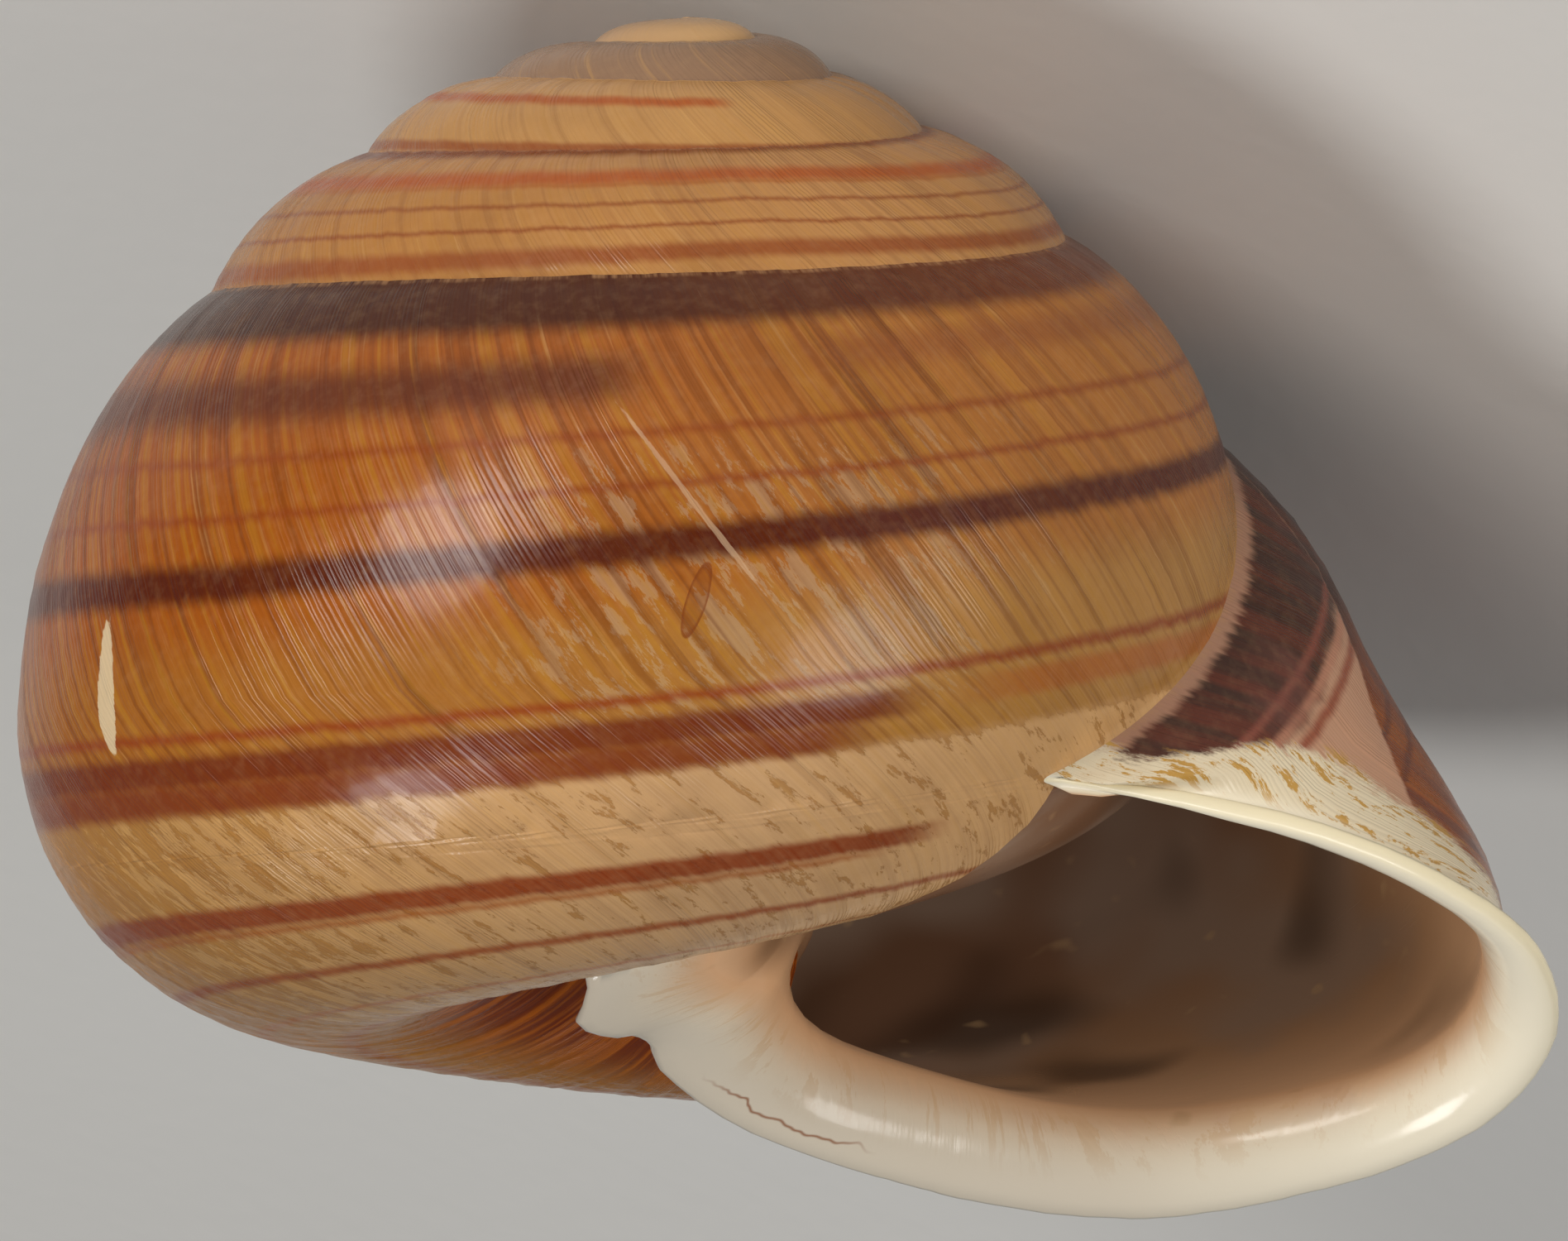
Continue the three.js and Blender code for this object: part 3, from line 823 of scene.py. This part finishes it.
# single marks: where they lie, how long (degrees) and wide (t), and the t gained per degree
marks = {
    "chip": {
        "t": -0.703, "band": 4.0, "long": 11.0, "wide": 0.0042, "slant": 0.0003, "colour": "#d6c09a",
    },
    "scar": {
        "t": -0.881, "band": 9.5, "long": 5.2, "wide": 0.0031, "slant": -0.0005, "colour": "#7c3c12",
    },
    "scratch": {
        "t": -0.8775, "band": 24.3, "long": 16.0, "wide": 0.0011, "slant": 0.00143, "colour": "#c9a683",
    },
}

skinLook = {
    "lineSpacing": 0.19,  # growth lines, mm
    "lineHeight": 0.016,  # mm
    "reliefStrength": 0.7,
    "flakeCover": 0.62,  # share of the thin brown skin that is left
    "flake": "#9a6420",
    "worn": "#b39a78",
    "darkStripe": "#6b3004",
    "paleStripe": "#b07a1c",
    "stain": "#6e370c",
    "paleStreak": "#c99a5c",
    "roughness": 0.22,
    "specular": 0.24,
    "coat": 0.12,
    "coatRoughness": 0.1,
}

behindLook = {
    "edge": 0.118,  # whorls from the lip to where the worn edge crosses the shoulder
    "shoulder": 51.0,  # degrees
    "edgeSlant": 0.0013,  # t per degree below the shoulder
    "amberDark": "#6a2602",
    "amber": "#9a4e06",
    "duskDark": "#2e0c02",
    "dusk": "#5c2408",
    "duskThreads": (39.0, 34.0),
    "duskThread": "#5a1c04",
    "bare": "#d0a080",
    "violetDark": "#2c0a02",
    "violet": "#561c0a",
    "bareThreads": ((53.6, "#8a4a3a"), (50.2, "#c08468"), (47.6, "#8a3212")),
    "scuff": "#7c4a40",
    "rim": "#e6d6b6",
    "rimFlake": "#c6984a",
}

seamLook = {"broad": "#c08f72", "broadWidth": 2.4, "thin": "#b98a5e"}

mottleLook = {"dark": "#5b2c0c", "pale": "#d2a878", "wellDark": "#7e3002", "well": "#c46408"}

lipLook = {
    "low": "#d6cab6",
    "side": "#f2e8d0",
    "edge": "#f3e6c2",
    "crack": "#8a4a16",
    "crackPlace": 0.05,  # whorls past the start of the lip
}

insideLook = {
    "glow": 0.24,  # painted light: the inside glows in its own colour by this much, in place of light coming through the wall
    "depth": 0.5,  # whorls over which the colour darkens inward, partly the inside's own brown and partly painted shade of the tube's depth
    "tones": [
        (0.0, "#2c190d"),
        (0.4, "#4a3120"),
        (0.62, "#6e4d38"),
        (0.78, "#98714f"),
        (0.9, "#cc9f76"),
        (1.0, "#e4d2b4"),
    ],
    "haze": "#85705f",
    "spot": "#2a180e",
    "speck": "#a8855c",
}


def noise(vector, scale, detail=3.0, rough=0.55):
    inputs = {"Vector": vector, "Scale": scale, "Detail": detail, "Roughness": rough}
    return vector.node("TexNoise", {"noise_dimensions": "3D"}, inputs)


# noise drawn out along the growth lines: steps per mm across them and along them
def lineNoise(shell, across, along, seed, detail, rough=0.55):
    inputs = {0: shell.grown * across, 1: shell.alongLine * along, 2: seed}
    return noise(shell.wire.node("CombineXYZ", None, inputs), 1.0, detail, rough)


def stageRamp(t, stops):
    low = stops[0][0]
    span = stops[-1][0] - low
    placed = [((at - low) / span, colour(code)) for at, code in stops]
    return t.node("ValToRGB", {"stops": placed}, {0: (t - low) / span})


# growth data of the mesh, and the noises that the colours share
def shellData(wire):
    growth, lines, zone = (
        wire.node("Attribute", {"attribute_name": name}, output=1) for name in ("growth", "lines", "zone")
    )
    shell = SimpleNamespace(wire=wire, place=wire.node("TexCoord", output=3))
    shell.t, shell.toLip, shell.band = growth.parts()
    shell.grown, shell.alongLine, shell.fromSuture = lines.parts()
    shell.lip, shell.inside, shell.umbilicus = zone.parts()
    shell.fineStreak = lineNoise(shell, 4.2, 0.16, 0.0, 4.0)
    shell.streak = lineNoise(shell, 1.1, 0.07, 3.0, 3.0)
    shell.tone = lineNoise(shell, 2.3, 0.05, 6.0, 2.0)
    shell.flake = lineNoise(shell, 1.5, 0.7, 9.0, 6.0, 0.72)
    shell.patch = noise(shell.place, 260.0, 3.0)
    shell.grain = noise(shell.place, 2600.0, 2.0)
    shell.wobble = (shell.streak - 0.5) * 1.8 + (shell.fineStreak - 0.5) * 1.1
    shell.ragged = shell.band + shell.wobble
    return shell


# ground colour, with ochre and cream below and thin brown skin flaking off both
def groundColour(shell):
    t = shell.t
    band = shell.band
    lastWhorl = t.ease(-1.45, -1.15)
    lowZone = shell.ragged.ease(14.0, 4.0) * lastWhorl
    look = lowZone.blend(stageRamp(t, groundByStage), stageRamp(t, ochreByStage))
    shell.creamZone = shell.ragged.ease(-16.5, -19.5) * lastWhorl
    look = shell.creamZone.blend(look, stageRamp(t, creamByStage))
    wearZone = band.ease(40.0, 25.0) * band.ease(-20.0, -3.0)
    wearZone = wearZone * t.ease(-1.02, -0.93) * t.ease(-0.8, -0.86)
    older = t.ease(-0.82, -0.64)
    cover = skinLook["flakeCover"] - shell.creamZone * 0.2 + older * 0.14 - wearZone * 0.09
    shell.skin = (shell.flake - (1.0 - cover)).ease(-0.02, 0.02)
    look = (shell.skin * shell.creamZone * 0.62).blend(look, colour(skinLook["flake"]))
    shell.wornOff = (1.0 - shell.skin) * wearZone * 0.4
    return shell.wornOff.blend(look, colour(skinLook["worn"]))


# stripes and streaks that run with the growth lines
def streakedColour(shell, look):
    t = shell.t
    upper = 1.0 - shell.creamZone * 0.75
    striped = (t.ease(-3.3, -2.6) * 0.4 + t.ease(-1.15, -0.8) * 0.6) * upper
    look = (shell.tone.ease(0.5, 0.66) * striped * 0.5).blend(look, colour(skinLook["darkStripe"]))
    look = (shell.tone.ease(0.5, 0.36) * striped * 0.4).blend(look, colour(skinLook["paleStripe"]))
    stain = shell.streak.ease(0.5, 0.68) * shell.fineStreak.ease(0.35, 0.6) * t.ease(-1.2, -0.9)
    look = (stain * upper * 0.78).blend(look, colour(skinLook["stain"]))
    return (shell.fineStreak.ease(0.55, 0.72) * 0.32).blend(look, colour(skinLook["paleStreak"]))


# dark band under the suture, broadening as the shell grows, and the bands round the whorls
def bandedColour(shell, look):
    t = shell.t
    width = 3.5 + t.ease(-2.2, -0.6) * 10.5
    dark = (shell.fromSuture + shell.wobble * 0.8 - width).ease(2.6, -2.6) * t.ease(-2.75, -2.2)
    look = (dark * 0.92).blend(look, stageRamp(t, sutureByStage))
    for middle, half, soft, start, end, code, depth in bands:
        near = ((shell.ragged - middle).distance() - half).ease(soft, -soft)
        shown = t.ease(start - 0.012, start + 0.012) * t.ease(end + 0.02, end - 0.02)
        amount = near * shown * depth * (0.8 + shell.fineStreak * 0.4)
        look = amount.blend(look, colour(code))
    return look


# 0 in the middle of a mark, 1 at its edge
def markReach(shell, mark):
    along = shell.band - mark["band"]
    across = (shell.t - along * mark["slant"] - mark["t"]) / mark["wide"]
    along = along / mark["long"]
    return across * across + along * along


def markedColour(shell, look):
    jagged = (shell.flake - 0.5) * 1.6
    chip = (markReach(shell, marks["chip"]) + jagged).ease(0.9, 0.75)
    look = (chip * 0.85).blend(look, colour(marks["chip"]["colour"]))
    reach = markReach(shell, marks["scar"]) + jagged * 0.25
    scar = reach.ease(1.0, 0.85) * (0.35 + reach.ease(0.45, 0.8) * 0.5)
    look = scar.blend(look, colour(marks["scar"]["colour"]))
    scratch = (markReach(shell, marks["scratch"]) + jagged * 1.8).ease(1.0, 0.6)
    return (scratch * 0.5).blend(look, colour(marks["scratch"]["colour"]))


# behind the lip: amber skin on the older side of a slanted edge, worn bare on the newer side
def behindLipColour(shell, look):
    band = shell.band
    streak = shell.streak
    behind = shell.t.ease(-0.26, -0.2)
    slanted = shell.t - (behindLook["shoulder"] - band) * behindLook["edgeSlant"]
    edge = (slanted + (shell.flake - 0.5) * 0.006 + behindLook["edge"]).ease(-0.0015, 0.0015)
    amber = behind * band.ease(-40.0, -15.0)
    amberTone = streak.ease(0.35, 0.65).blend(colour(behindLook["amberDark"]), colour(behindLook["amber"]))
    look = (amber * 0.85).blend(look, amberTone)
    dusk = shell.ragged.ease(43.0, 52.0) * behind
    duskTone = streak.ease(0.45, 0.7).blend(colour(behindLook["duskDark"]), colour(behindLook["dusk"]))
    look = (dusk * 0.9).blend(look, duskTone)
    for middle in behindLook["duskThreads"]:
        thread = ((shell.ragged - middle).distance() - 0.4).ease(0.8, -0.4) * behind
        look = (thread * 0.7).blend(look, colour(behindLook["duskThread"]))
    bare = edge * shell.toLip.ease(-0.2, -0.15) * band.ease(15.0, 22.0)
    look = (bare * 0.85).blend(look, colour(behindLook["bare"]))
    violet = (shell.ragged + (shell.patch - 0.5) * 8.0).ease(48.5, 51.5) * bare
    violetTone = streak.ease(0.4, 0.62).blend(colour(behindLook["violetDark"]), colour(behindLook["violet"]))
    look = (violet * 0.95).blend(look, violetTone)
    for middle, code in behindLook["bareThreads"]:
        thread = ((band + shell.wobble * 0.4 - middle).distance() - 0.5).ease(0.8, -0.5) * bare
        look = (thread * 0.8).blend(look, colour(code))
    scuff = shell.patch.ease(0.5, 0.66) * violet * band.ease(68.0, 54.0)
    return (scuff * 0.5).blend(look, colour(behindLook["scuff"]))


# pale worn edges along the suture, and the cream rim that the lip starts from
def edgeColour(shell, look):
    t = shell.t
    worn = (shell.fromSuture - seamLook["broadWidth"] + (shell.fineStreak - 0.5) * 4.0).ease(1.0, -1.0)
    broad = worn * t.ease(-0.5, -0.3) * (1.0 - shell.umbilicus)
    look = (broad * 0.75).blend(look, colour(seamLook["broad"]))
    thin = shell.fromSuture.ease(1.5, 0.5) * shell.fineStreak.ease(0.35, 0.7) * t.ease(-3.4, -2.8)
    look = (thin * 0.45).blend(look, colour(seamLook["thin"]))
    rim = (shell.toLip + (shell.flake - 0.5) * 0.03).ease(-0.019, -0.012) * (1.0 - shell.inside)
    rimTone = shell.flake.ease(0.53, 0.57).blend(colour(behindLook["rim"]), colour(behindLook["rimFlake"]))
    return rim.blend(look, rimTone)


# fine mottling everywhere outside, then the streaked umbilicus
def mottledColour(shell, look):
    look = (shell.patch.ease(0.45, 0.75) * 0.16).blend(look, colour(mottleLook["dark"]))
    look = ((shell.grain - 0.45) * 0.2).blend(look, colour(mottleLook["pale"]))
    well = shell.streak.ease(0.4, 0.62).blend(colour(mottleLook["wellDark"]), colour(mottleLook["well"]))
    return shell.umbilicus.blend(look, well)


# white lip, yellower along its outer edge, with a brown crack beside the plate
def lipColour(shell):
    band = shell.band
    cloudy = noise(shell.place, 95.0, 2.0)
    tone = (band + cloudy * 40.0).ease(-70.0, 0.0).blend(colour(lipLook["low"]), colour(lipLook["side"]))
    edge = shell.toLip.ease(0.05, 0.075) * band.ease(-40.0, 10.0)
    tone = edge.blend(tone, colour(lipLook["edge"]))
    stray = noise(shell.wire.node("CombineXYZ", None, {0: shell.alongLine * 0.8}), 1.0, 2.0)
    line = (shell.toLip - lipLook["crackPlace"] + (stray - 0.5) * 0.016).distance()
    crack = line.ease(0.0012, 0.0) * band.ease(-150.0, -140.0) * band.ease(-118.0, -126.0)
    return (crack * 0.8).blend(tone, colour(lipLook["crack"]))


# inside of the tube: ivory by the lip, then tan, then dark brown, with haze, spots and specks; the darkening
# inward is partly the inside's own brown and partly painted shade
def insideColour(shell):
    deep = (shell.toLip + insideLook["depth"]) / (insideLook["depth"] + 0.06)
    stops = [(at, colour(code)) for at, code in insideLook["tones"]]
    tone = shell.wire.node("ValToRGB", {"stops": stops}, {0: deep})
    middling = deep.ease(0.2, 0.5) * deep.ease(0.94, 0.8)
    haze = noise(shell.place, 120.0, 2.0).ease(0.45, 0.62) * middling
    tone = (haze * 0.6).blend(tone, colour(insideLook["haze"]))
    spots = noise(shell.place, 170.0, 1.0).ease(0.5, 0.72) * middling
    tone = (spots * 0.7).blend(tone, colour(insideLook["spot"]))
    specks = noise(shell.place, 900.0, 1.0).ease(0.68, 0.8)
    return (specks * 0.45).blend(tone, colour(insideLook["speck"]))


# relief of growth lines, flake edges and grain
def shellRelief(shell):
    lines = shell.grown * (2 * math.pi / skinLook["lineSpacing"])
    phase = lines + (shell.streak - 0.5) * 26.0 + (shell.fineStreak - 0.5) * 8.0
    wave = phase.maths("SINE", phase) * 0.5 + 0.5
    outer = (1.0 - shell.lip) * (1.0 - shell.inside)
    ridges = wave * (0.35 + shell.streak.ease(0.35, 0.7)) * outer * shell.t.ease(-5.0, -3.6)
    flaking = shell.skin * outer * shell.creamZone * 0.9
    height = ridges + shell.fineStreak * outer * 1.6 + (shell.grain - 0.5) * 0.5 + flaking
    distance = skinLook["lineHeight"] * mm
    inputs = {"Strength": skinLook["reliefStrength"], "Distance": distance, "Height": height}
    return shell.wire.node("Bump", None, inputs)


def emptyMaterial(name):
    material = bpy.data.materials.new(name)
    material.use_nodes = True
    material.node_tree.nodes.clear()
    return material, Wire(material.node_tree)


def shellMaterial():
    material, wire = emptyMaterial("bandedShell")
    shell = shellData(wire)
    look = streakedColour(shell, groundColour(shell))
    look = markedColour(shell, bandedColour(shell, look))
    look = edgeColour(shell, behindLipColour(shell, look))
    look = mottledColour(shell, look)
    look = shell.lip.blend(look, lipColour(shell))
    inner = insideColour(shell)
    look = (shell.inside * (1.0 - shell.lip)).blend(look, inner)
    rough = skinLook["roughness"] + (shell.patch - 0.5) * 0.16 + shell.wornOff * 0.2
    rough = rough + (shell.fineStreak - 0.5) * 0.2 - shell.lip * 0.06
    shine = wire.node("BsdfPrincipled", None, {
        "Base Color": look,
        "Roughness": rough,
        "Normal": shellRelief(shell),
        "IOR": 1.5,
        "Specular IOR Level": skinLook["specular"],
        "Coat Weight": skinLook["coat"],
        "Coat Roughness": skinLook["coatRoughness"],
        # painted light: the inside of the tube glows in its own colour
        "Emission Color": shell.inside.blend(colour("#000000"), inner),
        "Emission Strength": insideLook["glow"],
    })
    wire.node("OutputMaterial", None, {"Surface": shine})
    return material


floorLook = {"size": 1.6, "sunk": 0.00002, "colour": "#d9d7d2", "roughness": 0.6}  # metres


def buildFloor():
    bpy.ops.mesh.primitive_plane_add(size=floorLook["size"], location=(0, 0, -floorLook["sunk"]))
    floor = bpy.context.object
    floor.name = "floor"
    material, wire = emptyMaterial("palePaper")
    tooth = noise(wire.node("TexCoord", output=3), 900.0, 2.0)
    raised = wire.node("Bump", None, {"Strength": 0.15, "Distance": 0.0001, "Height": tooth})
    paper = wire.node("BsdfPrincipled", None, {
        "Base Color": colour(floorLook["colour"]),
        "Roughness": floorLook["roughness"],
        "Normal": raised,
    })
    wire.node("OutputMaterial", None, {"Surface": paper})
    floor.data.materials.append(material)


# camera: the shell's own upright axes, turned with it as it lies
cameraView = {
    "raised": 2.5,
    "rolled": 2.5,
    "across": 2.56,  # middle of the picture from the apex, mm
    "below": 16.5,
    "width": 42.93,  # mm across the picture
    "distance": 900,
}


def buildCamera(lay, origin):
    raised = rad(cameraView["raised"])
    rolled = rad(cameraView["rolled"])
    look = Vector((0, math.cos(raised), -math.sin(raised)))
    level = Vector((1, 0, 0))
    upright = Vector((0, math.sin(raised), math.cos(raised)))
    right = level * math.cos(rolled) + upright * math.sin(rolled)
    up = upright * math.cos(rolled) - level * math.sin(rolled)
    turn = Matrix(lay.tolist())
    middle = right * cameraView["across"] - up * cameraView["below"]
    target = (turn @ middle - Vector(origin)) * mm
    place = target - (turn @ look) * cameraView["distance"] * mm
    axes = Matrix([turn @ right, turn @ up, -(turn @ look)]).transposed()
    data = bpy.data.cameras.new("camera")
    data.sensor_width = 36
    data.lens = data.sensor_width * cameraView["distance"] / cameraView["width"]
    data.clip_start = 0.01
    data.clip_end = 20
    camera = bpy.data.objects.new("camera", data)
    camera.matrix_world = Matrix.Translation(place) @ axes.to_4x4()
    bpy.context.scene.collection.objects.link(camera)
    bpy.context.scene.camera = camera
    print("camera raised", round(math.degrees(math.asin(-(turn @ look).z)), 1), "degrees above the floor")
    return turn, right, up, look


# soft boxes, placed by picture direction: right, up, towards the camera
softBoxes = {
    "keyBox": {
        "from": (-0.62, 0.38, 0.68), "distance": 420, "size": 180, "watts": 1.0, "tint": (1.0, 0.97, 0.93),
    },
    "fillBox": {
        "from": (0.6, -0.15, 0.8), "distance": 450, "size": 200, "watts": 0.75, "tint": (1.0, 0.98, 0.96),
    },
    "lowBox": {
        "from": (-0.6, -0.62, 0.5), "distance": 450, "size": 150, "watts": 0.75, "tint": (1.0, 1.0, 1.0),
    },
}
worldLook = {"colour": (0.9, 0.92, 0.95, 1), "strength": 0.16}


def buildLights(turn, right, up, look):
    for name, box in softBoxes.items():
        x, y, z = box["from"]
        away = (turn @ (right * x + up * y - look * z)).normalized()
        light = bpy.data.lights.new(name, "AREA")
        light.shape = "DISK"
        light.size = box["size"] * mm
        light.energy = box["watts"]
        light.color = box["tint"]
        holder = bpy.data.objects.new(name, light)
        holder.location = away * box["distance"] * mm + Vector((0, 0, 0.015))
        holder.rotation_euler = away.to_track_quat("Z", "Y").to_euler()
        bpy.context.scene.collection.objects.link(holder)
        print(name, "stands", round(holder.location.z, 3), "m up")
    world = bpy.data.worlds.new("studio")
    bpy.context.scene.world = world
    world.use_nodes = True
    background = world.node_tree.nodes["Background"]
    background.inputs["Color"].default_value = worldLook["colour"]
    background.inputs["Strength"].default_value = worldLook["strength"]


shell, lay, origin = buildShell()
shell.data.materials.append(shellMaterial())
print("shell coloured")
buildFloor()
buildLights(*buildCamera(lay, origin))
bpy.context.scene.view_settings.view_transform = "Standard"
print("studio ready")
